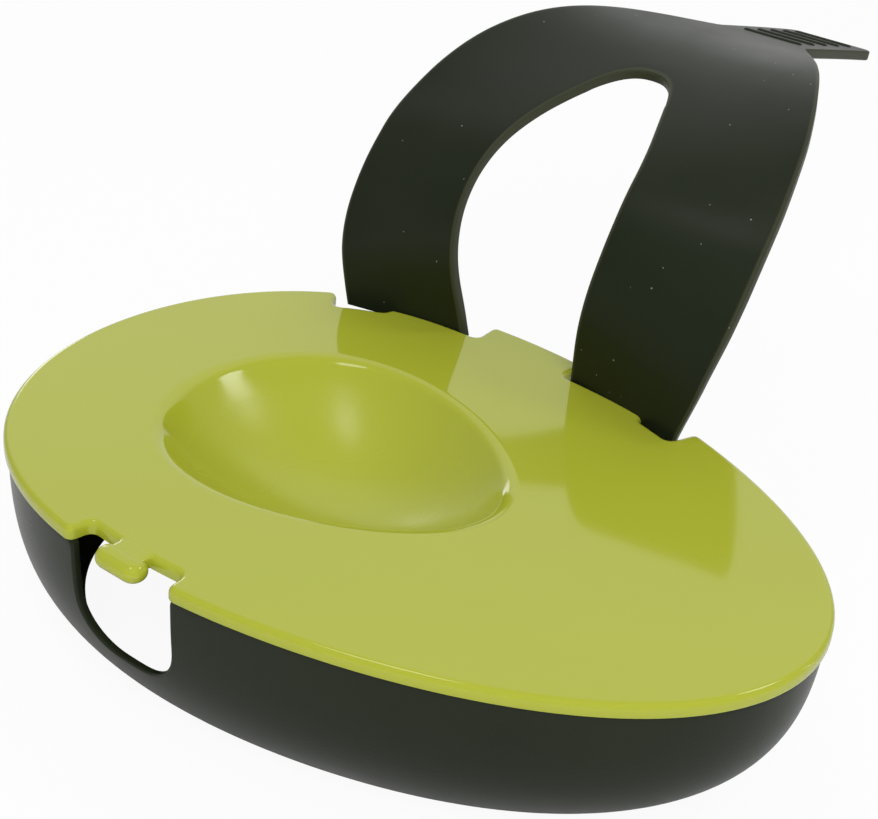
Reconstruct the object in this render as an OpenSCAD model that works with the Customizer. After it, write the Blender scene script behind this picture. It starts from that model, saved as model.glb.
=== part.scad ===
// Avocado saver: keeps half an avocado face down on a plate with a pit cup,
// held by a rubber strap that hooks over the front edge.

/* [Plate] */
// Length of the plate, end to end
plate_l = 120; // [100:1:140]
// Greatest width of the plate
plate_w = 85.5; // [76:0.5:96]
// Thickness of the plate
plate_t = 2; // [1.6:0.1:3]
// Radius along the plate's top edge
rim_r = 1; // [0.5:0.1:1.4]
// How much narrower the pointed end is than the round one
taper = 0.19; // [0.12:0.01:0.24]
// How full both ends are
fullness = 0.08; // [0:0.01:0.14]
// Depth of the locating rib under the plate
rib_h = 2.4; // [1.5:0.1:3.5]
// Thickness of the locating rib
rib_t = 1.2; // [0.8:0.1:1.8]

/* [Pit cup] */
// Centre of the cup along the plate
cup_x = -12.2; // [-16:0.2:-8]
// Shift of the cup toward the hook
cup_y = -1.5; // [-2.5:0.5:0]
// Length of the cup's mouth
cup_l = 55; // [48:1:57]
// Greatest width of the cup's mouth
cup_w = 44.5; // [38:0.5:48]
// How much narrower the mouth is at its pointed end
cup_taper = 0.2; // [0:0.02:0.26]
// Depth of the cup
cup_depth = 12; // [8:0.5:14]
// Radius of the cup's rounded lip
cup_lip_r = 2; // [1:0.5:4]
// Thickness of the cup's wall
cup_wall = 1.8; // [1.2:0.1:2.4]

/* [Hook] */
// Place of the strap's middle along the plate
hook_x = -11.6; // [-15:0.2:-8]
// Shift of the hook, its notch and the window from the strap's middle
hook_shift = -0.8; // [-1:0.1:0.6]
// Width of the notch around the hook
notch_w = 17.2; // [16:0.1:18.4]
// Depth of that notch
notch_d = 3.6; // [2.8:0.1:4.2]
// Length of the hook's head
hook_l = 7.8; // [6.6:0.1:9]
// Width of the hook's head, front to back
hook_d = 3.7; // [2.8:0.1:4.2]
// Thickness of the hook's head
hook_h = 2.7; // [1.8:0.1:3.2]
// Width of the hook's neck
neck_w = 5.4; // [3:0.1:6]

/* [Bowl] */
// Height from the foot to the top of the plate
body_h = 27; // [24:0.5:32]
// Thickness of the bowl's wall
bowl_t = 1.3; // [1.1:0.1:2]
// Thickness of the wall's edge at the foot
foot_edge = 1.8; // [1.2:0.1:2.6]
// How far the bowl's side stands in from the plate's edge
bowl_inset = 0.5; // [0.2:0.1:1.2]
// Share of the plate's outline that is left at the foot
foot_share = 0.79; // [0.74:0.01:0.86]
// Shift of the foot toward the round end
foot_shift = -3.4; // [-6:0.2:0]
// Width of the finger window
window_w = 17.5; // [13:0.5:20]
// Depth of the finger window below the plate's top
window_h = 17; // [12:0.5:19]
// Radius of the window's lower corners
window_r = 6.5; // [3:0.5:7]

/* [Leg pockets] */
// Distance from the hook's line to the near side of a pocket
pocket_in = 7.8; // [7:0.1:8.4]
// Distance from the hook's line to the far side of a pocket
pocket_out = 33.2; // [32.6:0.1:34]
// Depth of a pocket from the plate's edge
pocket_d = 6.2; // [6:0.1:7]
// Extra depth of its outer part
pocket_step = 0.7; // [0:0.1:1]
// Distance from the hook's line to where the extra depth starts
step_at = 24; // [22:0.5:26]
// Depth of the matching dip in the bowl's rim, below the plate
dip_h = 4.5; // [3.5:0.1:6]

/* [Strap] */
// Thickness of the rubber
strap_t = 1.7; // [1.2:0.1:1.8]
// Greatest width across both legs
strap_w = 69.2; // [67:0.2:70.6]
// Greatest width of the teardrop opening
gap_w = 25.6; // [23:0.2:27]
// Length of the strap up to the top of the opening
gap_l = 57.5; // [53:0.5:62]
// Length from the opening to the tab
band_l = 33.5; // [28:0.5:38]
// Width of the pull tab
tab_w = 16.4; // [14:0.2:20]
// Length of the pull tab
tab_l = 28.5; // [22:0.5:34]
// Height of the grip ridges on the tab
ridge_h = 0.5; // [0.3:0.1:0.8]
// Number of grip ridges
ridge_n = 5; // [3:1:7]
// Distance of the legs' middle line behind the hook's line, in from the plate's edge
root_in = 3.8; // [3.6:0.1:4.2]

/* [Strap hinge] */
// Radius of the bead at each leg's foot
bead_r = 1.4; // [1.2:0.05:1.5]
// Length of each bead
bead_l = 7; // [5:0.5:8]
// Running clearance round a bead
bead_gap = 0.1; // [0.05:0.05:0.2]
// Distance of each bead from the hook's line
bead_at = 21; // [19:0.5:23]
// Depth of the beads' axis below the plate's underside
bead_drop = 1.4; // [1.2:0.1:1.8]

/* [Hidden] */
$fn = 48;
sides = 120;                       // points round the outline
lime = [0.72, 0.75, 0.36];
green = [0.20, 0.22, 0.18];

// Outline: half-width follows sin t, trimmed by the taper and the fullness
function plan(t) = sin(t) * (1 - taper * cos(t) + fullness * pow(cos(t), 2));
widest = max([for (t = [60:1:150]) plan(t)]);
function edge(t) = [plate_l / 2 * cos(t), plate_w / 2 / widest * plan(t)];
function normal(t) = let (d = edge(t + 0.5) - edge(t - 0.5)) [d[1], -d[0]] / norm(d);
function ring(inset, share = 1, shift = 0) =
    [for (i = [0:sides - 1]) let (t = 360 * i / sides)
        share * (edge(t) - inset * normal(t)) + [shift, 0]];
// Half-width of the plate at a place along it
function half_at(x) = edge(acos(2 * x / plate_l))[1];

// Closed skin through a stack of rings, each a list of points at one height
function ring_faces(rows, n, loop) = [
    for (j = [0:(loop ? rows - 1 : rows - 2)], i = [0:n - 1])
        let (a = j * n, b = ((j + 1) % rows) * n, k = (i + 1) % n)
        each [[a + i, b + i, b + k], [a + i, b + k, a + k]]];
module skin(rings, heights) {
    n = len(rings[0]); m = len(rings);
    polyhedron([for (j = [0:m - 1], p = rings[j]) [p[0], p[1], heights[j]]],
        concat([[for (i = [0:n - 1]) i]], ring_faces(m, n, false),
               [[for (i = [n - 1:-1:0]) (m - 1) * n + i]]));
}
module sleeve(rings, heights) {
    n = len(rings[0]); m = len(rings);
    polyhedron([for (j = [0:m - 1], p = rings[j]) [p[0], p[1], heights[j]]],
        ring_faces(m, n, true));
}

// Cup: a rounded lip that runs into a bowl, as distances in from the mouth
lip_a = 50;
lip_in = cup_lip_r * sin(lip_a);
lip_z = -cup_lip_r * (1 - cos(lip_a));
cup_profile = concat(
    [[0, 1]], [for (a = [0:12.5:lip_a]) [cup_lip_r * sin(a), -cup_lip_r * (1 - cos(a))]],
    [for (u = [0.92, 0.84, 0.74, 0.62, 0.48, 0.32, 0.15])
        [lip_in + (cup_w / 2 - lip_in) * (1 - u), lip_z - (cup_depth + lip_z) * (1 - pow(u, 2.8))]]);
cup_widest = max([for (t = [60:1:150]) sin(t) * (1 - cup_taper * cos(t))]);
function oval(inset) = [for (i = [0:71]) let (t = 5 * i, k = 1 - inset / (cup_w / 2))
    [cup_x + cup_l / 2 * k * cos(t), cup_y + cup_w / 2 / cup_widest * k * sin(t) * (1 - cup_taper * cos(t))]];
module cup_hollow() skin([for (i = [len(cup_profile) - 1:-1:0]) oval(cup_profile[i][0])],
                         [for (i = [len(cup_profile) - 1:-1:0]) cup_profile[i][1]]);
module cup_body() {
    p = [for (c = cup_profile) if (c[0] >= lip_in - 0.01) c];
    m = len(p);
    skin([for (i = [m - 1:-1:0]) oval(p[i][0] - cup_wall), oval(-cup_wall - 0.5 * lip_in)],
         [for (i = [m - 1:-1:0]) p[i][1] - cup_wall, -plate_t / 2]);
}

// Bowl: the outline shrinks toward the foot along a round side
foot_drop = body_h - plate_t;
function bowl_share(z) = let (u = -(z + plate_t) / foot_drop)
    1 - (1 - foot_share) * (0.08 * u + 0.92 * pow(u, 3.2));
bowl_z = [for (u = [0, 0.2, 0.38, 0.54, 0.67, 0.78, 0.86, 0.93, 1]) -plate_t - foot_drop * u];
function bowl_ring(z, inset) = ring(bowl_inset + inset, bowl_share(z),
    foot_shift * (1 - bowl_share(z)) / (1 - foot_share));
module bowl_solid() {
    m = len(bowl_z);
    skin([for (j = [m - 1:-1:0]) bowl_ring(bowl_z[j], 0)], [for (j = [m - 1:-1:0]) bowl_z[j]]);
}
function wall_at(j) = j < len(bowl_z) - 1 ? bowl_t * (1 + 0.4 * pow(j / (len(bowl_z) - 1), 3)) : foot_edge;
module bowl_wall() {
    m = len(bowl_z);
    sleeve(concat([for (j = [m - 1:-1:0]) bowl_ring(bowl_z[j], 0)],
                  [for (j = [0:m - 1]) bowl_ring(bowl_z[j], wall_at(j))]),
           concat([for (j = [m - 1:-1:0]) bowl_z[j]], bowl_z));
}

// Cutter for a notch of a given depth between two places along the edge, its ends square to it
module notch(x0, x1, depth, back, r = 0.8) {
    t0 = acos(2 * x0 / plate_l); t1 = acos(2 * x1 / plate_l); f = back ? 1 : -1;
    run = [for (i = [0:16]) t0 + (t1 - t0) * i / 16];
    offset(r = r) offset(delta = -r)
        polygon([for (k = [0, 1], i = [0:16]) let (t = run[k == 0 ? i : 16 - i], p = edge(t) + (k == 0 ? 8 : -depth) * normal(t))
            [p[0], f * p[1]]]);
}

// Strap: how far it leans back from upright, in degrees, along its length
lean = [[0, -16], [8, -17], [14, 1], [24, 27.5], [36, 62], [48, 71.5], [60, 77], [72, 92], [84, 101], [130, 104]];
// How far the edges of the strap bow back from its middle
bow = [[0, -6], [6, -4.2], [12, -0.2], [24, 3.6], [36, 2.9], [48, 0], [60, -2.8], [72, -3.4], [84, -2.2], [102, 0], [130, 0]];
// Outer width as a share of the greatest
outer = [[0, 0.88], [6, 0.915], [12, 0.968], [22, 1], [36, 0.99], [48, 0.917], [56, 0.835], [66, 0.69], [76, 0.52], [92, 0.23], [130, 0.2]];
// Width of the opening as a share of the greatest, up to its top
inner = [[0, 0.8], [0.1, 0.87], [0.22, 0.94], [0.42, 1], [0.56, 0.95], [0.7, 0.83], [0.79, 0.68], [0.88, 0.535], [0.94, 0.42], [0.98, 0.28], [1, 0]];
wide = 34;                         // half-width at which the bow is given
function bow_at(s) = lookup(s, bow);

// Hinge line of the strap: along X, through both beads
root_y = half_at(hook_x) - root_in;
bead_z = -plate_t - bead_drop;
bead_y = root_y + bow_at(1) * pow(bead_at / wide, 2) - 0.3;

module top_plate() color(lime) {
    arc = [for (a = [0:30:90]) [rim_r * (1 - cos(a)), -rim_r * (1 - sin(a))]];
    difference() {
        union() {
            skin(concat([ring(0)], [for (p = arc) ring(p[0])]),
                 concat([-plate_t], [for (p = arc) p[1]]));
            cup_body();
            locating_rib();
        }
        cup_hollow();
        translate([0, 0, -plate_t - 1]) linear_extrude(plate_t + 2) {
            notch(hook_mid - notch_w / 2, hook_mid + notch_w / 2, notch_d, false);
            for (s = [-1, 1]) {
                a = hook_x + s * pocket_in; b = hook_x + s * pocket_out; c = hook_x + s * step_at;
                notch(min(a, b), max(a, b), pocket_d, true);
                notch(min(c, b), max(c, b), pocket_d + pocket_step, true);
            }
        }
    }
    hook();
}

// Rib that drops inside the bowl's rim and stops short of the window and pockets
module locating_rib() {
    out = bowl_inset + bowl_t + 0.15;
    difference() {
        sleeve([ring(out), ring(out), ring(out + rib_t), ring(out + rib_t)],
               [-plate_t - rib_h, -plate_t + 0.3, -plate_t + 0.3, -plate_t - rib_h]);
        translate([hook_mid - window_w / 2 - 4, -plate_w, -plate_t - 2 * rib_h])
            cube([window_w + 8, plate_w - 15, 2 * rib_h + plate_t / 2]);
        translate([hook_x - pocket_out - 3, 0, -plate_t - 2 * rib_h])
            cube([2 * pocket_out + 6, plate_w, 2 * rib_h + plate_t / 2]);
    }
}

// T-shaped hook: a flat pill with rounded edges on a short neck, its top level with the plate's
hook_mid = hook_x + hook_shift;
hook_y = -half_at(hook_mid) + notch_d - 0.35 - hook_d / 2;
function pill(inset) = [for (i = [0:47]) let (a = 7.5 * (i + 0.5), r = hook_d / 2 - inset)
    [hook_mid + (abs(a - 180) < 90 ? -1 : 1) * (hook_l - hook_d) / 2 + r * cos(a), hook_y + r * sin(a)]];
module hook() {
    e = 0.4 * hook_h;
    arc = [for (a = [0:22.5:90]) [e * (1 - cos(a)), e * (1 - sin(a))]];
    skin(concat([for (i = [4:-1:0]) pill(arc[i][0])], [for (p = arc) pill(p[0])]),
         concat([for (i = [4:-1:0]) -hook_h + arc[i][1]], [for (p = arc) -p[1]]));
    translate([hook_mid - neck_w / 2, hook_y, -plate_t + 0.1]) cube([neck_w, hook_d / 2 + 1.5, plate_t - 0.5]);
}

module base_shell() color(green) {
    lug_l = bead_l + 1; lip = 0.55 * bead_r;
    difference() {
        union() {
            bowl_wall();
            intersection() {
                bowl_solid();
                for (s = [-1, 1]) translate([hook_x + s * bead_at - lug_l / 2, bead_y - 2 * bead_r, bead_z - 2 * bead_r])
                    cube([lug_l, 20, 2 * bead_r + lip]);
            }
        }
        // finger window, open to the rim
        translate([hook_mid, -plate_w / 4, 0]) rotate([90, 0, 0]) linear_extrude(plate_w / 2) {
            offset(r = window_r) offset(delta = -window_r)
                translate([-window_w / 2, -window_h]) square([window_w, 2 * window_h]);
        }
        // dips under the plate's pockets, over and beside each lug
        for (s = [-1, 1]) translate([hook_x + s * (pocket_in + pocket_out) / 2, root_y - 11, bead_z + lip]) {
            w = pocket_out - pocket_in;
            translate([-w / 2, 0, 0]) cube([w, 40, 10]);
            difference() {
                translate([-w / 2, 0, -plate_t - dip_h - bead_z - lip]) cube([w, 40, 10]);
                translate([s * (bead_at - (pocket_in + pocket_out) / 2) - lug_l / 2, -1, -20]) cube([lug_l, 42, 20]);
            }
        }
        // groove that the beads turn in, with its mouth
        for (s = [-1, 1]) translate([hook_x + s * bead_at, bead_y, bead_z]) {
            r = bead_r + bead_gap;
            rotate([0, 90, 0]) cylinder(r = r, h = lug_l + 2, center = true);
            m = 2 * sqrt(r * r - lip * lip);
            translate([-lug_l / 2 - 1, -m / 2, 0]) cube([lug_l + 2, m, 10]);
        }
    }
}

root_z = -plate_t + 0.3;           // where the path of the sheet starts
foot_s = max(0, (bead_z + 1.55 * bead_r - root_z) / cos(lean[0][1]));   // legs end clear of the lugs
strap_l = gap_l + band_l + tab_l;
shoulder = 15;                     // length over which the shoulders run down to the tab
step_l = 2.5;
stations = concat([foot_s], [for (s = [step_l:step_l:gap_l - 6]) s], [for (d = [4, 2.5, 1.2, 0.5, 0, -0.8]) gap_l - d],
    [for (s = [gap_l + 4:step_l + 1:gap_l + band_l - shoulder - 1]) s],
    [for (u = [0, 0.25, 0.5, 0.75, 0.92, 1]) gap_l + band_l - shoulder * (1 - u)],
    [for (s = [gap_l + band_l + 4:5:strap_l - 6]) s],
    [for (d = [5, 3, 2, 1.2, 0.5, 0]) strap_l - d]);

function gap_half(s) = s < gap_l ? gap_w / 2 * lookup(s / gap_l, inner) : 0;
function side_half(s) =
    let (w = strap_w / 2 * lookup(min(s, gap_l + band_l - shoulder), outer), t = tab_w / 2,
         u = (s - gap_l - band_l + shoulder) / shoulder, e = max(0, (s - strap_l + 3) / 3))
    u <= 0 ? w : u < 1 ? w + (t - w) * u : t * (1 - 0.03 * (s - gap_l - band_l) / tab_l) * sqrt(1 - 0.4 * e * e);
walk = [for (i = 0, p = [root_y, root_z]; i < 261;
             p = p + 0.5 * [sin(lookup(0.5 * i + 0.25, lean)), cos(lookup(0.5 * i + 0.25, lean))], i = i + 1) p];
function middle(s) = let (i = floor(2 * s), f = 2 * s - i) walk[i] * (1 - f) + walk[i + 1] * f;
// A point of the sheet: s along it, x across it, h out of it on the upper side
function sheet_at(s, x, h) =
    let (a = lookup(s, lean), d = bow_at(s) * pow(x / wide, 2) - h, m = middle(s))
    [hook_x + x, m[0] + d * cos(a), m[1] - d * sin(a)];

across = [0, 0.25, 0.5, 0.75, 1];
// The same, with the legs' lower edge made level
function level_at(s, x, h) =
    sheet_at(s + max(0, 1 - s / 10) * (bow[0][1] * sin(lean[0][1])) * pow(x / wide, 2), x, h);
function leg_ring(s, side) =
    let (a = s < gap_l ? gap_half(s) : -0.05, b = side_half(s))
    concat([for (u = across) level_at(s, side * (a + (b - a) * u), strap_t / 2)],
           [for (i = [4:-1:0]) level_at(s, side * (a + (b - a) * across[i]), -strap_t / 2)]);
function leg_points(side) = [for (s = stations) each leg_ring(s, side)];
module leg(side) {
    n = 10; m = len(stations); last = (m - 1) * n;
    caps = [for (i = [0:3]) each [[i, i + 1, 8 - i], [i, 8 - i, 9 - i],
        [last + i, last + 8 - i, last + i + 1], [last + i, last + 9 - i, last + 8 - i]]];
    f = concat(ring_faces(m, n, false), caps);
    polyhedron(leg_points(side), side < 0 ? [for (q = f) [for (i = [len(q) - 1:-1:0]) q[i]]] : f);
}

module strap() color(green) {
    for (side = [-1, 1]) {
        leg(side);
        // bead and neck at the leg's foot
        translate([hook_x + side * bead_at, bead_y, bead_z]) rotate([0, 90, 0])
            cylinder(r = bead_r, h = bead_l, center = true);
        hull() {
            translate([hook_x + side * bead_at - 2.5, bead_y - 0.6, bead_z + 0.4]) cube([5, 1.2, 0.8]);
            for (d = [-2.5, 2.5]) for (h = [-0.35, 0.35]) translate(sheet_at(3, side * (bead_at + d), h * strap_t))
                cube(0.3, center = true);
        }
    }
    // grip ridges across the tab
    for (i = [0:ridge_n - 1]) {
        s = gap_l + band_l + 4 + i * (tab_l - 9) / max(1, ridge_n - 1);
        translate(sheet_at(s, 0, strap_t / 2 + ridge_h - 0.8)) rotate([90 - lookup(s, lean), 0, 0])
            rotate([0, 90, 0]) cylinder(r = 0.8, h = 0.7 * tab_w, center = true);
    }
}

// The whole stands on its foot, with its middle over the origin
far_y = max([for (p = leg_points(1)) p[1]]);
near_y = min(-plate_w / 2, hook_y - hook_d / 2);
module place() translate([0, -(far_y + near_y) / 2, body_h]) children();

place() top_plate();
place() base_shell();
place() strap();
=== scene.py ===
# Avocado saver: a lime plate with a pit cup on a dark bowl, and a rubber strap.
# The sections follow the real one as it is put together: bowl, plate, hook, strap. Sizes are in
# millimetres, from the middle of the plate's top face, with the hook's side toward -y.
from math import cos, pi, radians, sin

import bmesh
import bpy
import numpy as np
from mathutils import Matrix, Vector
from mathutils.geometry import tessellate_polygon


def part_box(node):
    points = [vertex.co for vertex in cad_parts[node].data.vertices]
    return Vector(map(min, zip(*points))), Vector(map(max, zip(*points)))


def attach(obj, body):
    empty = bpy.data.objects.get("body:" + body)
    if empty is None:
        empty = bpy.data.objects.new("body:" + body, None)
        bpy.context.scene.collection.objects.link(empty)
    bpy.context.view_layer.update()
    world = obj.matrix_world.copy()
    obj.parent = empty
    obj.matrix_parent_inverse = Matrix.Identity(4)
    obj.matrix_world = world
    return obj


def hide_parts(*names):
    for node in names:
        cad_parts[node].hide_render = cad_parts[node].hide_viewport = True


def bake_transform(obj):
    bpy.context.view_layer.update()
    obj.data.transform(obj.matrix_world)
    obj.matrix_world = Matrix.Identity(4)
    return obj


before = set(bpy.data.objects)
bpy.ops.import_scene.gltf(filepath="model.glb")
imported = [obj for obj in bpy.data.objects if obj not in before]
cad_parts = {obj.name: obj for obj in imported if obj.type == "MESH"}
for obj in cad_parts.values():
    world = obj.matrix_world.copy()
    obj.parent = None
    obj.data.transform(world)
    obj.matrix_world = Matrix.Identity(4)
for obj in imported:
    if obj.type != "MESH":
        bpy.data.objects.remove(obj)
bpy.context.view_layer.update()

# ---------------------------------------------------------------- bowl
# The bowl is one moulding of dark-green satin plastic, open at its foot. Its rim ends under
# the plate's edge. A finger window is cut below the hook, and the rim dips under the strap's
# legs, with a low tooth in each dip that holds the leg's bead.
plate_l, plate_w, plate_t = 120.0, 85.5, 2.0
taper, fullness = 0.19, 0.08
strap_mid, hook_mid = -11.6, -12.4                  # middle lines of the strap and of the hook
body_h, bowl_t, bowl_inset = 27.0, 1.3, 0.5
foot_thicker = 0.1                                  # share that the wall gains down to the foot
foot_share, foot_shift = 0.79, -3.4                 # the foot's size and place against the rim's
even_shrink, shrink_power = 0.08, 3.2
window_w, window_h, window_r = 17.5, 17.0, 6.5
pocket_in, pocket_out, dip_h = 7.8, 32.7, 4.5
bead_at, bead_r, bead_l = 21.0, 1.4, 7.0
bead_y, bead_z = 36.48, -3.4
tooth_top = bead_z + 0.55 * bead_r
tooth_spare, groove_spare, lug_wall = 0.5, 0.1, 2.3
rim_round, foot_round = 0.45, 0.6
rim_step, rim_reach = 0.5, 2.4                      # steps along the rim, and its corners' rounding
fan = 40                                            # columns drift apart over this many steps
bowl_green, bowl_shade = (0.018, 0.023, 0.012, 1), (0.012, 0.016, 0.008, 1)

shell_low, shell_high = (np.array(corner) * 1000 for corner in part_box("base_shell"))
origin = np.array([(shell_low[0] + shell_high[0]) / 2, (shell_low[1] + shell_high[1]) / 2,
                   shell_high[2] + plate_t])        # middle of the plate's top face


def egg_shape(t):
    """Half-width of the plate before scaling: sin t, trimmed by the taper and the fullness."""
    return np.sin(t) * (1 - taper * np.cos(t) + fullness * np.cos(t) ** 2)


egg_widest = egg_shape(np.linspace(0, pi, 2001)).max()


def egg(t):
    """Plate's outline: half the length times cos t, and half the width times the shape above."""
    return np.stack([plate_l / 2 * np.cos(t), plate_w / 2 / egg_widest * egg_shape(t)], -1)


def to_the_right(d):
    """Unit directions to the right of the given ones: each is turned by 90 degrees."""
    length = np.maximum(np.linalg.norm(d, axis=-1, keepdims=True), 1e-9)
    return np.stack([d[..., 1], -d[..., 0]], -1) / length


def egg_normal(t):
    """Outward normal of the outline: to the right of the way between two near points."""
    return to_the_right(egg(t + 0.01) - egg(t - 0.01))


def way_along(points):
    """Way from the first point to each point, over the straight pieces between them."""
    return np.r_[0, np.cumsum(np.linalg.norm(np.diff(points, axis=0), axis=-1))]


turn = np.linspace(0, 2 * pi, 2881)
arc = way_along(egg(turn))
girth = arc[-1]


def back_turn(x):
    """Turn at the place x on the strap's side: the arc cosine of x over half the length."""
    return np.arccos(2 * x / plate_l)


def rounded_walk(corners, spacing, reach):
    """Walks round the corners at even steps, then gives each point the mean of its neighbours
    within the reach, which rounds every corner. Returns the points and, for each, the direction
    to its right."""
    corners = np.asarray(corners, float)
    way = way_along(corners)
    n = round(way[-1] / spacing)
    s = np.arange(n) * way[-1] / n
    period = corners[-1] - corners[0]
    drift = np.outer(np.arange(n) / n, period)
    flat = np.stack([np.interp(s, way, corners[:, axis]) for axis in (0, 1)], -1) - drift
    near = round(reach / spacing / 2)
    flat = sum(np.roll(flat, step, axis=0) for step in range(-near, near + 1)) / (2 * near + 1)
    ahead = np.roll(flat, -1, axis=0) - np.roll(flat, 1, axis=0) + 2 * period / n
    return flat + drift, to_the_right(ahead)


def way_down(z):
    """Share of the way from the rim, 0, to the foot, 1, at the height z."""
    return np.clip((-z - plate_t) / (body_h - plate_t), 0, 1)


def wall(z):
    """Bowl's thickness at the height z: it grows to the foot as the cube of the way down."""
    return bowl_t * (1 + foot_thicker * way_down(z) ** 3)


def bowl_skin(w, z, depth):
    """Point of the bowl: way w along the outline, height z, depth in from the outer face. The
    outline shrinks to the foot's share of itself, a little of it evenly and the rest as a power
    of the way down, and it shifts as it shrinks."""
    w, z, depth = np.broadcast_arrays(w, z, depth)
    t = np.interp(w % girth, arc, turn)
    u = way_down(z)
    share = 1 - (1 - foot_share) * (even_shrink * u + (1 - even_shrink) * u ** shrink_power)
    xy = share[..., None] * (egg(t) - (bowl_inset + depth)[..., None] * egg_normal(t))
    shift = foot_shift * (1 - share) / (1 - foot_share)
    return np.stack([xy[..., 0] + shift, xy[..., 1], z], -1)


def grid_faces(rows, columns, closed_rows, closed_columns):
    """Four-sided faces between every grid point and its next ones in both directions."""
    a, b = np.meshgrid(np.arange(rows - (not closed_rows)),
                       np.arange(columns - (not closed_columns)), indexing="ij")
    c, d = (a + 1) % rows, (b + 1) % columns
    corners = [a * columns + b, a * columns + d, c * columns + d, c * columns + b]
    return np.stack(corners, -1).reshape(-1, 4)


def skin(rings):
    """Rings joined to one surface: each ring is closed, and the two end rings stay open."""
    return rings, grid_faces(*rings.shape[:2], False, True)


def mould(name, parts, material, body, stands_for=(), crease=35):
    """Joins parts into one piece with outward faces, and hands it to the frame. A part is its
    points from the plate's middle, its faces, and how much painted edge highlight each point gets,
    if any."""
    points, faces, edge_lit, start = [], [], [], 0
    for p, f, *edge_lit_share in parts:
        p = p.reshape(-1, 3)
        points.append(p)
        edge_lit.append(edge_lit_share[0].ravel() if edge_lit_share else np.zeros(len(p)))
        faces += (np.asarray(f) + start).tolist()
        start += len(p)
    mesh = bpy.data.meshes.new(name)
    mesh.from_pydata(((np.concatenate(points) + origin) / 1000).tolist(), [], faces)
    mesh.attributes.new("edge_lit", "FLOAT", "POINT").data.foreach_set("value", np.concatenate(edge_lit))
    b = bmesh.new()
    b.from_mesh(mesh)
    bmesh.ops.remove_doubles(b, verts=b.verts, dist=1e-7)
    bmesh.ops.recalc_face_normals(b, faces=b.faces)
    b.to_mesh(mesh)
    b.free()
    mesh.shade_smooth()
    mesh.set_sharp_from_angle(angle=radians(crease))
    piece = bpy.data.objects.new(name, mesh)
    bpy.context.scene.collection.objects.link(piece)
    mesh.materials.append(material)
    if body:
        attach(piece, body)
    if stands_for:
        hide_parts(*stands_for)
    return piece


def moulded(name, light, dark, roughness, cloud, grain, depth):
    """Material of a moulding: its colour drifts between a light and a dark shade in soft clouds
    of a given size, its roughness drifts between two values with them, and its surface has a
    fine grain of a given size and depth. The pattern lies on Object coordinates."""
    m = bpy.data.materials.new(name)
    m.use_nodes = True
    nodes, links = m.node_tree.nodes, m.node_tree.links
    shader = nodes["Principled BSDF"]
    place, clouds, shade, dull, fine, bump = (nodes.new("ShaderNode" + kind) for kind in (
        "TexCoord", "TexNoise", "Mix", "MapRange", "TexNoise", "Bump"))
    clouds.inputs["Scale"].default_value, clouds.inputs["Detail"].default_value = 1000 / cloud, 3
    fine.inputs["Scale"].default_value, fine.inputs["Detail"].default_value = 1000 / grain, 2
    shade.data_type = "RGBA"
    shade.inputs["A"].default_value, shade.inputs["B"].default_value = dark, light
    dull.inputs["From Min"].default_value, dull.inputs["From Max"].default_value = 0.2, 0.8
    dull.inputs["To Min"].default_value, dull.inputs["To Max"].default_value = roughness
    dull.interpolation_type = "SMOOTHSTEP"
    bump.inputs["Distance"].default_value = depth / 1000
    for noise in (clouds, fine):
        links.new(place.outputs["Object"], noise.inputs["Vector"])
    links.new(clouds.outputs["Fac"], dull.inputs["Value"])
    links.new(clouds.outputs["Fac"], shade.inputs["Factor"])
    links.new(shade.outputs["Result"], shader.inputs["Base Color"])
    links.new(dull.outputs["Result"], shader.inputs["Roughness"])
    links.new(fine.outputs["Fac"], bump.inputs["Height"])
    links.new(bump.outputs["Normal"], shader.inputs["Normal"])
    return m, shader


tooth_half = bead_l / 2 + tooth_spare


def dip_corners(side):
    """Way and height at the corners of the rim's dip under one leg, with the tooth in it."""
    edges = [pocket_out, bead_at + tooth_half, bead_at - tooth_half, pocket_in]
    x = strap_mid + side * np.repeat(edges if side > 0 else edges[::-1], 2)
    low = -plate_t - dip_h
    heights = [-plate_t, low, low, tooth_top, tooth_top, low, low, -plate_t]
    return np.stack([np.interp(back_turn(x), turn, arc), heights], -1)


window_mid = np.interp(2 * pi - back_turn(hook_mid), turn, arc)
bend = np.radians(np.linspace(0, 90, 16))
rim_corners = [[0, -plate_t]]
for side in (1, -1):
    rim_corners += dip_corners(side).tolist()
for side in (-1, 1):
    half = window_w / 2 - window_r * (1 - np.cos(bend))
    corner = np.stack([window_mid + side * half, -window_h + window_r * (1 - np.sin(bend))], -1)
    corner = np.r_[[[window_mid + side * window_w / 2, -plate_t]], corner]
    rim_corners += (corner if side < 0 else corner[::-1]).tolist()
rim_corners.append([girth, -plate_t])
rim, into = rounded_walk(rim_corners, rim_step, rim_reach)

# the outer face, the lip's two quarter rounds, the inner face, and the foot's two
skin_top = rim + rim_round * into
drift = rim[:, 0] - np.arange(len(rim)) * girth / len(rim)
even_drift = sum(np.roll(drift, step) for step in range(-fan, fan + 1)) / (2 * fan + 1)
foot_w, foot_z = even_drift + rim[:, 0] - drift, -body_h + foot_round
rise = np.linspace(0, 1, 34)[:, None]
skin_w = (1 - rise) * foot_w + rise * skin_top[:, 0]
skin_z = (1 - rise) * foot_z + rise * skin_top[:, 1]
quarter = np.radians(np.linspace(0, 90, 6))[1:, None]
bowl_rows = [bowl_skin(skin_w, skin_z, 0)]
for q in quarter:
    w, z = (rim + rim_round * (1 - np.sin(q)) * into).T
    bowl_rows.append(bowl_skin(w, z, rim_round * (1 - np.cos(q)))[None])
for q in quarter - quarter[0]:
    w, z = (rim + rim_round * (1 - np.cos(q)) * into).T
    bowl_rows.append(bowl_skin(w, z, wall(z) - rim_round * (1 - np.sin(q)))[None])
bowl_rows.append(bowl_skin(skin_w, skin_z, wall(skin_z))[::-1])
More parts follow.
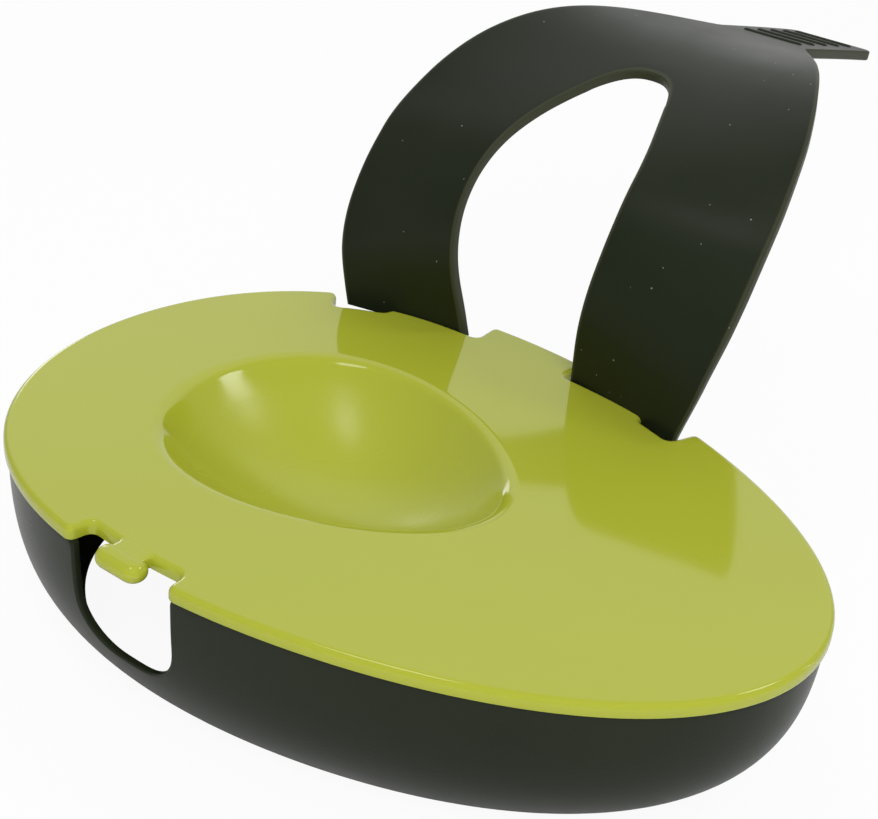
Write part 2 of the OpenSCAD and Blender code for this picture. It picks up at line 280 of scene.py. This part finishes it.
for q in quarter:
    bowl_rows.append(bowl_skin(foot_w, foot_z - foot_round * np.sin(q),
                               wall(foot_z) - foot_round * (1 - np.cos(q)))[None])
for q in quarter - quarter[0]:
    bowl_rows.append(bowl_skin(foot_w, foot_z - foot_round * np.cos(q),
                               foot_round * (1 - np.sin(q)))[None])
bowl_points = np.concatenate(bowl_rows)
bowl_parts = [(bowl_points, grid_faces(*bowl_points.shape[:2], True, True))]

# lugs inside the rim: a block with a C-shaped groove, carried along the plate's length
groove_r = bead_r + groove_spare
opening = np.arcsin((tooth_top - bead_z) / groove_r)
sweep = np.linspace(opening, -pi - opening, 24)
groove = np.stack([bead_y + groove_r * np.cos(sweep), bead_z + groove_r * np.sin(sweep)], -1)
lug_front, lug_back, lug_low = bead_y - 2 * bead_r, bead_y + lug_wall, bead_z - 2 * bead_r
block = np.array([[lug_front, tooth_top], [lug_front, lug_low],
                  [lug_back, lug_low], [lug_back, tooth_top]])
lug_outline = np.r_[groove, block]
lug_end = tessellate_polygon([[Vector((*p, 0)) for p in lug_outline.tolist()]])
lug_end = np.array([tuple(corners) for corners in lug_end])
for side in (-1, 1):
    ends = strap_mid + side * bead_at + np.array([-1, 1]) * tooth_half
    lug = np.stack([np.c_[np.full(len(lug_outline), x), lug_outline] for x in ends])
    bowl_parts += [skin(lug), (lug[0], lug_end), (lug[1], lug_end)]

bowl_plastic, shader = moulded("dark satin plastic", bowl_green, bowl_shade,
                               roughness=(0.26, 0.36), cloud=24, grain=0.35, depth=0.02)
shader.inputs["Specular IOR Level"].default_value = 0.15
mould("bowl", bowl_parts, bowl_plastic, "keeper", ["base_shell"])

# ---------------------------------------------------------------- plate
# The plate is one glossy lime moulding: a flat egg-shaped lid with a rounded edge, a pit cup
# with a soft lip sunk in it, a notch for the hook and two stepped pockets for the strap. It is
# pressed on to the bowl, and a thin rib under it finds the bowl's rim.
edge_round, under_round, nip, flat_step = 0.9, 0.3, 0.08, 0.08
notch_w, notch_d = 17.2, 3.6
pocket_d, shallow_d = 5.1, 3.6                      # a pocket's depth, and the least at its step
pocket_ends = {1: (26.0, 9.9), -1: (24.4, pocket_in)}         # each pocket's step and inner end
edge_step, edge_reach = 0.3, 2.2                    # steps along it, and its corners' rounding
cup_x, cup_y, cup_l, cup_w, cup_taper = -12.2, -1.5, 55.0, 44.5, 0.2
cup_depth, cup_wall, cup_curve, mouth_step = 12.0, 1.8, 2.1, 0.1
lip_r, lip_turn = 2.6, radians(49.5)
cup_satin, satin_from, satin_full = 0.20, 0.8, 4.0  # the cup is less glossy from here to here down
rib_h, rib_t, rib_spare, rib_root = 2.4, 1.2, 0.15, 0.2
clear_window, clear_pocket = window_w / 2 + 4, pocket_out + 3
lime, lime_shade = (0.42, 0.455, 0.034, 1), (0.39, 0.425, 0.030, 1)


def outline_run(start, end, density=60):
    """Outline between two turns, at even steps, with this many points a radian."""
    return egg(np.linspace(start, end, max(2, round(abs(end - start) * density))))


def recess_floor(x, depth):
    """Outline at the places x on its strap side, moved inward by the depth there."""
    t = back_turn(x)
    return egg(t) - np.broadcast_to(depth, x.shape)[:, None] * egg_normal(t)


plate_corners, at = [], 0.0
for side, (step, inner_end) in pocket_ends.items():
    off = np.r_[np.linspace(pocket_out, step, 12), np.linspace(step, inner_end, 16)]
    depth = np.r_[np.full(12, pocket_d), np.linspace(shallow_d, pocket_d, 16)]
    floor_x, depth = strap_mid + side * off[::side], depth[::side]
    plate_corners.append(outline_run(at, back_turn(floor_x[0])))
    plate_corners.append(recess_floor(floor_x, depth))
    at = back_turn(floor_x[-1])
notch_x = hook_mid + np.array([-0.5, 0.5]) * notch_w
plate_corners.append(outline_run(at, 2 * pi - back_turn(notch_x[0])))
plate_corners.append(recess_floor(np.linspace(*notch_x, 8), notch_d) * [1, -1])
plate_corners.append(outline_run(2 * pi - back_turn(notch_x[1]), 2 * pi))
plate_edge, outward = rounded_walk(np.concatenate(plate_corners), edge_step, edge_reach)

q = np.radians(np.linspace(0, 90, 8))
edge_profile = [(edge_round + flat_step, -plate_t), (under_round, -plate_t),
                (nip, -plate_t + nip), (0, -plate_t + under_round),
                *zip(edge_round * (1 - np.cos(q)), -edge_round * (1 - np.sin(q))),
                (edge_round + flat_step, 0)]
edge_rings = np.stack([np.c_[plate_edge - inset * outward, np.full(len(plate_edge), z)]
                       for inset, z in edge_profile])


def cup_shape(t):
    """The cup's mouth, an egg like the plate: sin t, less the cup's taper times cos t."""
    return np.sin(t) * (1 - cup_taper * np.cos(t))


cup_widest = cup_shape(np.linspace(0, pi, 2001)).max()


def oval(inset, z, n=240):
    """Ring round the cup's middle: its half-width less the inset, its half-length in proportion."""
    t, size = np.arange(n) * 2 * pi / n, 1 - inset / (cup_w / 2)
    return np.stack([cup_x + cup_l / 2 * size * np.cos(t),
                     cup_y + cup_w / 2 / cup_widest * size * cup_shape(t), np.full(n, z)], -1)


# the cup: a round lip, then a wall that falls as a power of the way in, and the same underneath
lip_in, lip_z = lip_r * sin(lip_turn), -lip_r * (1 - cos(lip_turn))
over, u = np.linspace(0, lip_turn, 9), np.linspace(1, 0, 36)[1:]
cup_in = np.r_[lip_r * np.sin(over), lip_in + (cup_w / 2 - lip_in) * (1 - u)]
cup_z = np.r_[-lip_r * (1 - np.cos(over)), lip_z - (cup_depth + lip_z) * (1 - u ** cup_curve)]
cup_rings = np.stack([oval(-mouth_step, 0)] + [oval(*p) for p in zip(cup_in, cup_z)])
under_mouth = -cup_wall - 0.5 * lip_in
under = np.stack([cup_in, cup_z], -1)[len(over) - 1:] - cup_wall
under_rings = np.stack([oval(under_mouth - mouth_step, -plate_t), oval(under_mouth, -plate_t)]
                       + [oval(*p) for p in under])


def flat_between(outer, inner):
    """Triangles that fill the flat ring between two loops."""
    loops = [[Vector(p) for p in loop.tolist()] for loop in (outer, inner[::-1])]
    triangles = np.array([tuple(corners) for corners in tessellate_polygon(loops)])
    return np.concatenate([outer, inner[::-1]]), triangles


def end_caps(rings):
    """The first and the last ring, each filled with one many-sided face."""
    ends = rings[[0, -1]]
    return ends, np.arange(2 * rings.shape[1]).reshape(2, -1)


plate_parts = [skin(edge_rings), skin(cup_rings), skin(under_rings),
               flat_between(edge_rings[-1], cup_rings[0]),
               flat_between(edge_rings[0], under_rings[0])]

# locating rib: a thin wall under the plate, in two runs that stop short of window and pockets
rib_out = bowl_inset + bowl_t + rib_spare
rib_profile = [(rib_out, rib_root), (rib_out, -rib_h),
               (rib_out + rib_t, -rib_h), (rib_out + rib_t, rib_root)]
rib_ends = ((-back_turn(hook_mid + clear_window), back_turn(strap_mid + clear_pocket)),
            (back_turn(strap_mid - clear_pocket), 2 * pi - back_turn(hook_mid - clear_window)))
for start, end in rib_ends:
    t = np.linspace(start, end, 140)
    rings = np.stack([np.c_[egg(t) - inset * egg_normal(t), np.full(len(t), z - plate_t)]
                      for inset, z in rib_profile])
    plate_parts.append((rings, grid_faces(len(rings), len(t), True, False)))
    plate_parts.append(end_caps(rings.transpose(1, 0, 2)))

lime_plastic, shader = moulded("glossy lime plastic", lime, lime_shade,
                               roughness=(0.06, 0.09), cloud=40, grain=0.6, depth=0.002)
nodes, links = lime_plastic.node_tree.nodes, lime_plastic.node_tree.links
height, below, satin = (nodes.new("ShaderNode" + kind) for kind in (
    "SeparateXYZ", "MapRange", "Math"))
for key, value in (("From Min", (origin[2] - satin_from) / 1000),
                   ("From Max", (origin[2] - satin_full) / 1000),
                   ("To Min", 0.0), ("To Max", cup_satin)):
    below.inputs[key].default_value = value
links.new(nodes["Texture Coordinate"].outputs["Object"], height.inputs[0])
links.new(height.outputs["Z"], below.inputs["Value"])
links.new(nodes["Map Range"].outputs["Result"], satin.inputs[0])
links.new(below.outputs["Result"], satin.inputs[1])
links.new(satin.outputs[0], shader.inputs["Roughness"])
mould("plate", plate_parts, lime_plastic, "keeper", ["top_plate"])

# ---------------------------------------------------------------- hook
# The hook is part of the plate's moulding: a flat pill that stands out over the notch on a short
# neck, level with the plate, for the strap's end to catch on.
hook_l, hook_d, hook_h, hook_gap = 7.8, 3.7, 2.7, 0.35
hook_round, crown, crown_ways = 1.3, 0.08, (0.25, 0.5, 0.75, 0.97)
neck_w, neck_z, neck_half, neck_swell, neck_root = 5.4, -1.0, 0.94, 0.055, 2.0
flare_w, flare_from, flare_over, flare_power = 0.9, 0.35, 0.45, 2.5


def edge_y(x):
    """Distance of the plate's outline from its long axis, at the place x."""
    return np.interp(x, *egg(np.linspace(0.02, pi - 0.02, 400))[::-1].T)


hook_y = -edge_y(hook_mid) + notch_d - hook_gap - hook_d / 2


def pill(inset, z, n=64):
    """Ring of the hook's head: two half circles, less the inset, joined by straight sides."""
    t = (np.arange(n) + 0.5) * 2 * pi / n
    r = hook_d / 2 - inset
    return np.stack([hook_mid + np.sign(np.cos(t)) * (hook_l - hook_d) / 2 + r * np.cos(t),
                     hook_y + r * np.sin(t), np.full(n, z)], -1)


def box_round(c):
    """Cosine or sine of a turn as a small power of itself, which makes a circle a round box."""
    return np.sign(c) * np.abs(c) ** 0.35


# the head's profile from its underside to its top, and the neck's rings from head to plate
head_turn = np.radians(np.linspace(0, 90, 9))
head_profile = [(hook_round * (1 - cos(q)), -hook_h + hook_round * (1 - sin(q)))
                for q in head_turn[::-1]]
head_profile += [(hook_round * (1 - cos(q)), -crown - hook_round * (1 - sin(q))) for q in head_turn]
head_profile += [(hook_round + (hook_d / 2 - hook_round) * k, -crown * (1 - k) ** 2)
                 for k in crown_ways]
head = np.stack([pill(*p) for p in head_profile])
reach, t = np.linspace(0, 1, 20), np.arange(40) * 2 * pi / 40
flare = flare_w * np.clip((reach - flare_from) / flare_over, 0, 1) ** flare_power
neck = np.stack([np.c_[hook_mid + (neck_w / 2 + f) * box_round(np.cos(t)),
                       np.full(len(t), hook_y + r * (hook_d / 2 + neck_root)),
                       neck_z + (neck_half + neck_swell * r) * box_round(np.sin(t))]
                 for r, f in zip(reach, flare)])
mould("hook", [skin(head), end_caps(head), skin(neck), end_caps(neck)],
      lime_plastic, "keeper")

# ---------------------------------------------------------------- strap
# The strap is one sheet of dark-green rubber. Its two legs stand in the pockets on round beads,
# lean back and join over a teardrop opening, and narrow at round shoulders to a pull tab with
# raised grip bars.
strap_t, strap_w, edge_soft = 1.7, 69.2, 0.35
gap_w, gap_l, band_l, tab_w, tab_l = 25.6, 57.5, 33.5, 16.4, 28.5
tip_spare, tip_round, tab_taper = 0.1, 2.0, 0.03
strap_l = gap_l + band_l + tab_l - tip_spare
shoulder, wide = 15.0, 34.0
root_in, root_z, foot_s = 3.8, -plate_t + 0.17, 0.5
# tables along the middle line: the lean in degrees, how far the edges bow, and the widths of the
# strap and of the opening as shares of the widest, the opening's by shares of its length
lean = [(0, -16), (8, -17), (14, 1), (24, 27.5), (36, 62), (48, 71.5), (60, 77), (72, 92),
        (84, 101), (130, 104)]
bow = [(0, -6), (6, -4.2), (12, -0.2), (24, 4.0), (36, 3.1), (48, 0), (60, -2.8), (72, -3.4),
       (84, -2.2), (102, 0), (130, 0)]
outer = [(0, 0.88), (6, 0.915), (12, 0.968), (22, 1), (36, 0.99), (48, 0.917), (56, 0.835),
         (66, 0.69), (76, 0.52), (92, 0.23), (130, 0.2)]
inner = [(0, 0.8), (0.1, 0.87), (0.22, 0.94), (0.42, 1), (0.56, 0.95), (0.7, 0.83), (0.79, 0.68),
         (0.88, 0.535), (1, 0.3)]
arch_from, arch_share = inner[-2]                   # the opening's round top starts there
arch_power, fine_l = 0.4, 4.0
level = 36.0                                        # rows are level up to here, and fan out above
leg_swell = 0.9                                     # each leg swells on one side above its root
columns, face_n = 300, 30
neck_to, neck_up, neck_half_w, neck_gain, neck_half_t = 1.6, 0.4, 2.5, 0.4, 0.5
grip_n, grip_h, grip_r, grip_share, grip_from, grip_margins = 5, 0.36, 0.8, 0.35, 4.0, 9.0
rubber_green, rubber_shade = (0.016, 0.021, 0.010, 1), (0.009, 0.013, 0.006, 1)
# the first colour is a painted highlight laid along the strap's edges; dust is real dust in specks
edge_highlight, dust, speck_r, speck_gap = (0.075, 0.080, 0.045, 1), (0.22, 0.23, 0.19, 1), 0.13, 3.0
grid_step = 0.25
s_grid = np.arange(0, 130.01, grid_step)


def eased(table, span=6.0):
    """Table as a smooth run over the strap's length: straight between entries, then the mean over
    the span, with the ends carried on straight."""
    y = np.interp(s_grid, *zip(*table))
    k = round(span / (2 * grid_step))
    before = y[0] - (y[1] - y[0]) * np.arange(k, 0, -1)
    after = y[-1] + (y[-1] - y[-2]) * np.arange(1, k + 1)
    return np.convolve(np.r_[before, y, after], np.ones(2 * k + 1) / (2 * k + 1), "valid")


lean_run, bow_run, outer_run = np.radians(eased(lean)), eased(bow, 13), eased(outer, 11)
inner_run = eased([(gap_l * share, half) for share, half in inner], 9)
middle_y = edge_y(strap_mid) - root_in + np.r_[0, np.cumsum(np.sin(lean_run[:-1]) * grid_step)]
middle_z = root_z + np.r_[0, np.cumsum(np.cos(lean_run[:-1]) * grid_step)]


def sheet(x, s, h):
    """Point of the strap: x across it, s along its middle line, h out of its upper side. The
    middle line follows the lean, and the edges bow back as the square of x. Near the root, s is
    raised by as much as the bow lowers the edges, so the legs' lower edge stays level."""
    lift = np.clip(1 - s / 10, 0, 1) * bow[0][1] * sin(radians(lean[0][1])) * (x / wide) ** 2
    s = s + lift
    a = np.interp(s, s_grid, lean_run)
    d = np.interp(s, s_grid, bow_run) * (x / wide) ** 2 - h
    return np.stack([strap_mid + x, np.interp(s, s_grid, middle_y) + d * np.cos(a),
                     np.interp(s, s_grid, middle_z) - d * np.sin(a)], -1)


# one half of both edges, from the leg's foot to the middle line, as x and s
s_leg = np.r_[np.linspace(foot_s, gap_l - fine_l, 120),
              gap_l - fine_l * np.linspace(1, 0, 60)[1:] ** 3]
gap_edge = np.stack([gap_w / 2 * np.interp(s_leg, s_grid, inner_run), s_leg], -1)
arch = s_leg > arch_from * gap_l
to_top = np.clip((gap_l - s_leg[arch]) / ((1 - arch_from) * gap_l), 0, 1)
gap_edge[arch, 0] = gap_w / 2 * arch_share * to_top ** arch_power
side_s = np.linspace(foot_s, gap_l + band_l - shoulder, 200)
side_edge = np.stack([strap_w / 2 * np.interp(side_s, s_grid, outer_run), side_s], -1)
band_half, tab_half = side_edge[-1, 0], tab_w / 2
k = np.linspace(0, 1, 40)[1:]
shoulder_edge = np.stack([band_half + (tab_half - band_half) * k,
                          gap_l + band_l - shoulder * (1 - k)], -1)
tab_s = np.linspace(gap_l + band_l, strap_l - tip_round, 60)[1:]
tab_edge = np.stack([tab_half * (1 - tab_taper * (tab_s - tab_s[0]) / tab_l), tab_s], -1)
q = np.linspace(0, pi / 2, 30)[1:]
tip_edge = np.stack([tab_edge[-1, 0] - tip_round * (1 - np.cos(q)),
                     strap_l - tip_round * (1 - np.sin(q))], -1)
outer_edge = np.r_[side_edge, shoulder_edge, tab_edge, tip_edge, [[0, strap_l]]]


def along(edge, share):
    """Points at these shares of an edge's own length."""
    way = way_along(edge)
    return np.stack([np.interp(share * way[-1], way, edge[:, axis]) for axis in (0, 1)], -1)


def soft(edge, k):
    """Edge with each point the mean of itself and k neighbours on each side, its ends kept."""
    padded = np.r_[2 * edge[:1] - edge[k:0:-1], edge, 2 * edge[-1:] - edge[-2:-k - 2:-1]]
    mean = np.ones(2 * k + 1) / (2 * k + 1)
    return np.stack([np.convolve(padded[:, axis], mean, "valid") for axis in (0, 1)], -1)


def mirrored(edge):
    """Edge from foot to middle line, and on down the other side with x turned about."""
    return np.r_[edge[:-1], np.stack([-edge[::-1, 0], edge[::-1, 1]], -1)]


def swell(s, middle, spread):
    """Bell curve along the strap: e to the minus square of the way from the middle."""
    return np.exp(-((s - middle) / spread) ** 2)


shares = np.linspace(0, 1, columns)
outer_half = soft(along(outer_edge, shares), 2)
share_level = np.interp(level, outer_half[:, 1], shares)
gap_way = way_along(gap_edge)
gap_at_level = np.interp(level, gap_edge[:, 1], gap_way)
low_way = np.interp(outer_half[:, 1], gap_edge[:, 1], gap_way)
above = (shares - share_level) / (1 - share_level)
high_way = gap_at_level + (gap_way[-1] - gap_at_level) * above
inner_half = along(gap_edge, np.where(shares < share_level, low_way, high_way) / gap_way[-1])
inner_line, outer_line = mirrored(soft(inner_half, 3)), mirrored(outer_half)
inner_line[:, 0] += np.where(inner_line[:, 0] < 0, leg_swell * swell(inner_line[:, 1], 8, 8), 0)
outer_line[:, 0] += np.where(outer_line[:, 0] > 0, leg_swell * swell(outer_line[:, 1], 9, 13), 0)


def inward(line, toward):
    """Direction across an edge, on the side of the other edge."""
    n = to_the_right(np.gradient(line, axis=0))
    return n * np.sign(np.sum(n * (toward - line), -1, keepdims=True))


in_dir, out_dir = inward(inner_line, outer_line), inward(outer_line, inner_line)
half_t, soft_turn = strap_t / 2, np.radians(np.linspace(0, 90, 6))[1:]
across = np.linspace(0, 1, face_n)[:, None, None]
from_gap, from_side = inner_line + edge_soft * in_dir, outer_line + edge_soft * out_dir
face = (1 - across) * from_gap + across * from_side


def edge_rows(line, direction):
    """Rounded edge of the sheet: a quarter circle in from its upper side and one to its lower,
    without the last row, where the lower side starts."""
    rows = [sheet(*(line + edge_soft * (1 - sin(a)) * direction).T,
                  half_t - edge_soft * (1 - cos(a))) for a in soft_turn]
    rows += [sheet(*(line + edge_soft * (1 - cos(a)) * direction).T,
                   -half_t + edge_soft * (1 - sin(a))) for a in np.r_[0, soft_turn[:-1]]]
    return np.stack(rows)


top, bottom = (sheet(face[..., 0], face[..., 1], h) for h in (half_t, -half_t))
side_rows, gap_rows = edge_rows(outer_line, out_dir), edge_rows(inner_line, in_dir)
strap_rows = np.concatenate([top, side_rows, bottom[::-1], gap_rows[::-1]])
edge_lit_share = np.ones(strap_rows.shape[:2])                # edges get the painted highlight, faces only along their borders
for first in (0, face_n + len(side_rows)):
    edge_lit_share[first + 1:first + face_n - 1] = 0
strap_parts = [(strap_rows, grid_faces(*edge_lit_share.shape, True, False), edge_lit_share),
               end_caps(strap_rows.transpose(1, 0, 2))]


def round_bar(middle, half, radius, bulge, n):
    """Bar across the strap: circles whose radius closes to nothing over both round ends."""
    a = np.radians(np.linspace(0, 90, 12))
    ends = np.c_[half - radius * bulge + radius * bulge * np.sin(a), radius * np.cos(a)]
    ends = np.r_[ends[::-1] * [-1, 1], ends]
    t = np.arange(n) * 2 * pi / n
    ring = np.stack([np.zeros(n), np.cos(t), np.sin(t)], -1)
    return middle + ends[:, :1, None] * [1, 0, 0] + ends[:, 1:, None] * ring


t = np.arange(24) * 2 * pi / 24
for side in (-1, 1):                                # beads and their necks
    bead = np.array([strap_mid + side * bead_at, bead_y, bead_z])
    base, foot = bead + [0, 0, neck_up], sheet(np.array(side * bead_at), np.array(neck_to), 0)
    neck = np.stack([base * (1 - k) + foot * k
                     + np.c_[(neck_half_w + neck_gain * k * k) * box_round(np.cos(t)),
                             neck_half_t * box_round(np.sin(t)), np.zeros(len(t))]
                     for k in np.linspace(0, 1, 8)])
    strap_parts += [skin(round_bar(bead, bead_l / 2, bead_r, 0.3, 40)), skin(neck), end_caps(neck)]
for s in gap_l + band_l + grip_from + np.linspace(0, tab_l - grip_margins, grip_n):
    x, ahead, up = np.moveaxis(round_bar(np.zeros(3), grip_share * tab_w, grip_r, 1.0, 24), -1, 0)
    strap_parts.append(skin(sheet(x, s + ahead, half_t + grip_h - grip_r + up)))

rubber, shader = moulded("dark green rubber", rubber_green, rubber_shade,
                         roughness=(0.33, 0.45), cloud=18, grain=0.3, depth=0.008)
shader.inputs["Specular IOR Level"].default_value = 0.17
nodes, links = rubber.node_tree.nodes, rubber.node_tree.links
# the rubber is painted lighter along its edges and face borders, a painted highlight read from the
# attribute set in mould; the specks are dust
edge, edge_lit_ramp, specks, small, lit_edges, dusty = (nodes.new("ShaderNode" + kind) for kind in (
    "Attribute", "MapRange", "TexVoronoi", "Math", "Mix", "Mix"))
edge.attribute_name = "edge_lit"
for key, value in (("From Min", 0.6), ("From Max", 1.0), ("To Min", 0.0), ("To Max", 0.45)):
    edge_lit_ramp.inputs[key].default_value = value
specks.inputs["Scale"].default_value = 1000 / speck_gap
small.operation, small.inputs[1].default_value = "LESS_THAN", speck_r / speck_gap
for mix, colour in ((lit_edges, edge_highlight), (dusty, dust)):
    mix.data_type = "RGBA"
    mix.inputs["B"].default_value = colour
links.new(nodes["Texture Coordinate"].outputs["Object"], specks.inputs["Vector"])
links.new(edge.outputs["Fac"], edge_lit_ramp.inputs["Value"])
links.new(edge_lit_ramp.outputs["Result"], lit_edges.inputs["Factor"])
links.new(nodes["Mix"].outputs["Result"], lit_edges.inputs["A"])
links.new(specks.outputs["Distance"], small.inputs[0])
links.new(small.outputs[0], dusty.inputs["Factor"])
links.new(lit_edges.outputs["Result"], dusty.inputs["A"])
links.new(dusty.outputs["Result"], shader.inputs["Base Color"])
strap = mould("rubber_strap", strap_parts, rubber, None, ["strap"])
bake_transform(strap)

# ---------------------------------------------------------------- studio
# A pale floor, a white surround that is bright to the left behind the object and dimmer
# elsewhere, and soft lamps. The camera sees the floor and the surround as white.
floor_half, floor_white = 1.2, 0.93                 # metres, and the floor's share of plain white
bright_toward = (-0.52, 0.70, 0.48)
lamp_aim = Vector((0, 0, 0.02))

paper = bpy.data.materials.new("white paper")
paper.use_nodes = True
nodes, links = paper.node_tree.nodes, paper.node_tree.links
sheet_white = nodes["Principled BSDF"]
sheet_white.inputs["Base Color"].default_value = (0.85, 0.85, 0.85, 1)
sheet_white.inputs["Roughness"].default_value = 0.9
sheet_white.inputs["Specular IOR Level"].default_value = 0.1
glow, rays, mix, share = (nodes.new("ShaderNode" + kind) for kind in (
    "Emission", "LightPath", "MixShader", "Math"))
glow.inputs["Strength"].default_value = 1.0
share.operation, share.inputs[1].default_value = "MULTIPLY", floor_white
links.new(rays.outputs["Is Camera Ray"], share.inputs[0])
links.new(share.outputs[0], mix.inputs[0])
links.new(sheet_white.outputs[0], mix.inputs[1])
links.new(glow.outputs[0], mix.inputs[2])
links.new(mix.outputs[0], nodes["Material Output"].inputs[0])

floor_mesh = bpy.data.meshes.new("floor")
floor_mesh.from_pydata([(floor_half * x, floor_half * y, 0)
                        for x, y in ((-1, -1), (1, -1), (1, 1), (-1, 1))], [], [(0, 1, 2, 3)])
floor_mesh.materials.append(paper)
floor = bpy.data.objects.new("floor", floor_mesh)
bpy.context.scene.collection.objects.link(floor)

world = bpy.data.worlds.new("white surround")
bpy.context.scene.world = world
world.use_nodes = True
nodes, links = world.node_tree.nodes, world.node_tree.links
background = nodes["Background"]
seen, rays, mix, direction, toward, ramp = (nodes.new("ShaderNode" + kind) for kind in (
    "Background", "LightPath", "MixShader", "TexCoord", "VectorMath", "MapRange"))
seen.inputs["Strength"].default_value = 1.0
for white in (seen, background):
    white.inputs["Color"].default_value = (1, 1, 1, 1)
toward.operation, toward.inputs[1].default_value = "DOT_PRODUCT", bright_toward
ramp.interpolation_type = "SMOOTHSTEP"
for key, value in (("From Min", 0.68), ("From Max", 0.88), ("To Min", 0.38), ("To Max", 1.0)):
    ramp.inputs[key].default_value = value
links.new(direction.outputs["Generated"], toward.inputs[0])
links.new(toward.outputs["Value"], ramp.inputs["Value"])
links.new(ramp.outputs["Result"], background.inputs["Strength"])
links.new(rays.outputs["Is Camera Ray"], mix.inputs[0])
links.new(background.outputs[0], mix.inputs[1])
links.new(seen.outputs[0], mix.inputs[2])
links.new(mix.outputs[0], nodes["World Output"].inputs[0])

for name, place, width, length, power in (
        ("right key", (0.36, 0.38, 0.73), 0.20, 0.20, 0.6),
        ("left key", (-0.11, -0.27, 0.85), 0.26, 0.20, 0.6),
        ("left strip", (-0.79, 0.38, 0.20), 0.14, 0.40, 0.35),
        ("right strip", (0.62, 0.62, 0.22), 0.05, 0.50, 0.12),
        ("fill", (0.50, -0.60, 0.72), 0.60, 0.60, 6.5)):
    light = bpy.data.lights.new(name, "AREA")
    light.shape, light.size, light.size_y, light.energy = "ELLIPSE", width, length, power
    lamp = bpy.data.objects.new(name, light)
    lamp.location = place
    lamp.rotation_euler = (lamp_aim - Vector(place)).to_track_quat("-Z", "Y").to_euler()
    lamp.visible_glossy = name != "fill"
    bpy.context.scene.collection.objects.link(lamp)

# ---------------------------------------------------------------- camera
# Close view from the hook's side and the round end's left, at the photograph's angle. The angles
# are in radians, and the aim is from the plate's middle.
azimuth, elevation, roll = 0.6392, 0.5059, 0.0874
distance, aim = 256.26, np.array([-8.468, 15.208, 0.0])
focal_px, image_w, sensor = 1800.0, 878.0, 36.0
back = np.array([sin(azimuth) * cos(elevation), -cos(azimuth) * cos(elevation), sin(elevation)])
right = np.array([cos(azimuth), sin(azimuth), 0])
up = np.cross(back, right)
right, up = cos(roll) * right + sin(roll) * up, cos(roll) * up - sin(roll) * right
eye = (aim + back * distance + origin) / 1000
camera = bpy.data.objects.new("camera", bpy.data.cameras.new("camera"))
camera.data.sensor_width, camera.data.lens = sensor, focal_px * sensor / image_w
camera.data.clip_start, camera.data.clip_end = 0.01, 10
camera.matrix_world = Matrix([*np.stack([right, up, back, eye], -1).tolist(), [0, 0, 0, 1]])
bpy.context.scene.collection.objects.link(camera)
bpy.context.scene.camera = camera
bpy.context.scene.view_settings.view_transform = "Standard"
